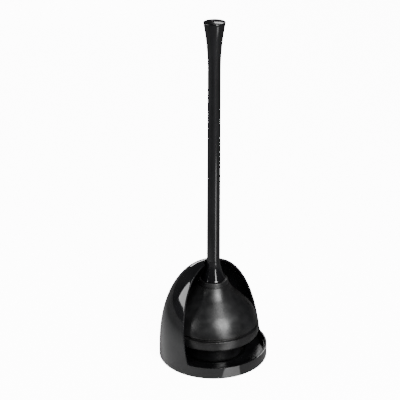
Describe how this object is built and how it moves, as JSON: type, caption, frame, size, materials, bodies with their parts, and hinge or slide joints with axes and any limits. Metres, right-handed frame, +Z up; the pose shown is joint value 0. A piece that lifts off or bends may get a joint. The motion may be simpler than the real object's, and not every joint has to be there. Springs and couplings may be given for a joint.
{
  "type": "toilet plunger",
  "caption": "Toilet plunger with a flared straight handle and a black rubber bell cup, standing in its half-dome hooded floor caddy.",
  "frame": {"origin": "centre of the caddy's round footprint, on the ground under the rubber feet", "axes": "+Z up along the handle; -Y out of the hood's open side, where the plunger is taken out; +X to the right of someone who faces the open side and looks along +Y"},
  "size_m": [0.16, 0.1605, 0.5064],
  "materials": {
    "caddy_gloss": "high gloss black",
    "pan_plastic": "fine matt black",
    "foot_rubber": "matt dark grey",
    "cup_rubber": "satin black, slightly mottled",
    "handle_gloss": "high gloss black",
    "core_plastic": "matt dark grey",
    "zinc_steel": "bright zinc plate"
  },
  "bodies": {
    "caddy": {"hood_shell": "caddy_gloss", "base_pan": "pan_plastic", "feet": "foot_rubber"},
    "cup": {"cup_flange": "cup_rubber", "cup_rim": "cup_rubber", "cup_bell": "cup_rubber"},
    "handle": {"cup_neck": "cup_rubber", "neck_core": "core_plastic", "cup_washer": "zinc_steel", "cup_nut": "zinc_steel", "through_rod": "zinc_steel", "ferrule": "handle_gloss", "handle_tube": "handle_gloss", "top_washer": "zinc_steel", "top_nut": "zinc_steel", "end_cap": "handle_gloss"}
  },
  "joints": [
    {"name": "lift_out", "type": "slide", "parent": "caddy", "child": "cup", "axis": [0, -0.866, 0.5], "range_m": [0, 0.25]},
    {"name": "plunge", "type": "slide", "parent": "cup", "child": "handle", "axis": [0, 0, -1], "range_m": [0, 0.025], "stiffness_N_per_m": 1500, "springref_m": -0.003, "deforming": ["cup_bell"]}
  ]
}
